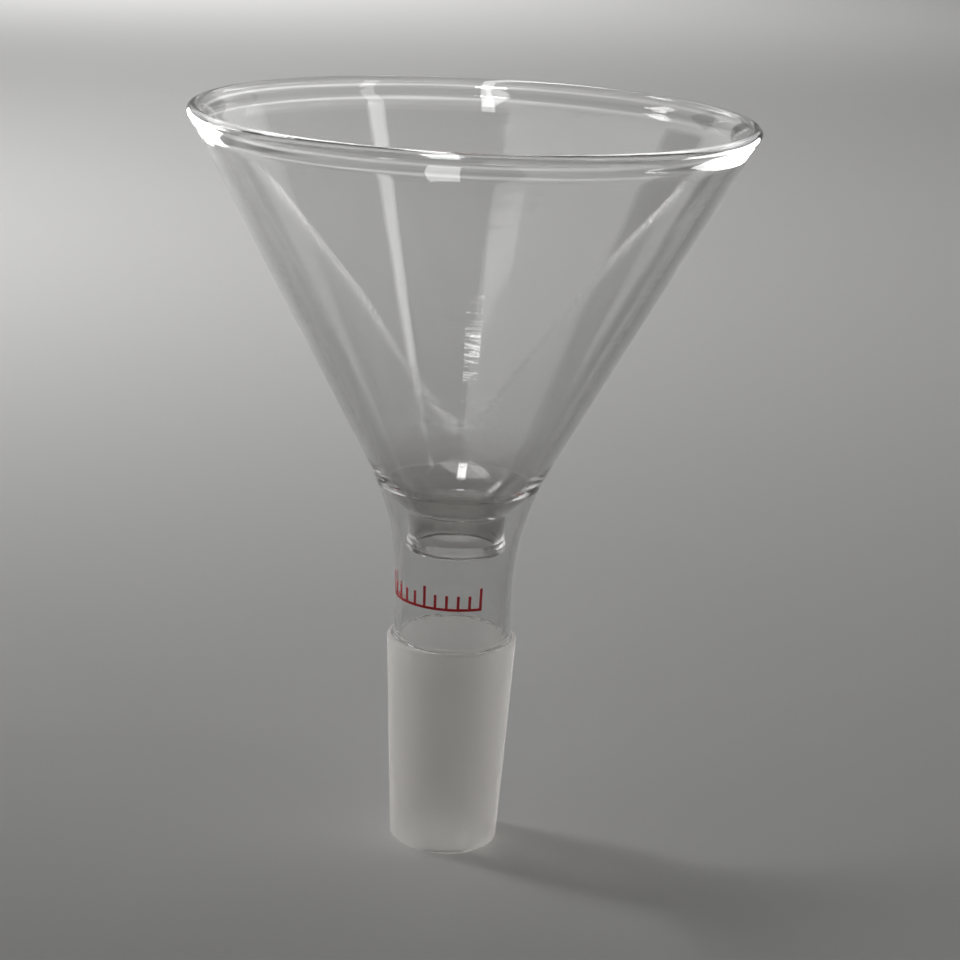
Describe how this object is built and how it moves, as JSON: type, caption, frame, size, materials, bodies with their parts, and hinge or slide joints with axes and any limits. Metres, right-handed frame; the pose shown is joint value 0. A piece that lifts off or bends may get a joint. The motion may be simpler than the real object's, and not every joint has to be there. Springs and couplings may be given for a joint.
{
  "type": "powder funnel",
  "caption": "Wide conical glass funnel with a fire-polished lip, whose short inner stem is sealed into a clear neck with a tapered ground joint and a red enamel mark.",
  "frame": {"origin": "centre of the ground joint's lower end, on its flat ring", "axes": "+Z along the funnel's axis from the joint to the mouth; -Y towards the viewer of the enamel mark; +X to the viewer's right"},
  "size_m": [0.101, 0.101, 0.137],
  "materials": {
    "clear_glass": "clear, fire polished",
    "ground_glass": "ground matt",
    "red_enamel": "fired enamel print"
  },
  "bodies": {
    "root": {"rim_lip": "clear_glass", "bowl_cone": "clear_glass", "bowl_foot": "clear_glass", "stem_tip": "clear_glass", "neck_tube": "clear_glass", "ground_joint": "ground_glass", "enamel_mark": "red_enamel"}
  },
  "joints": []
}
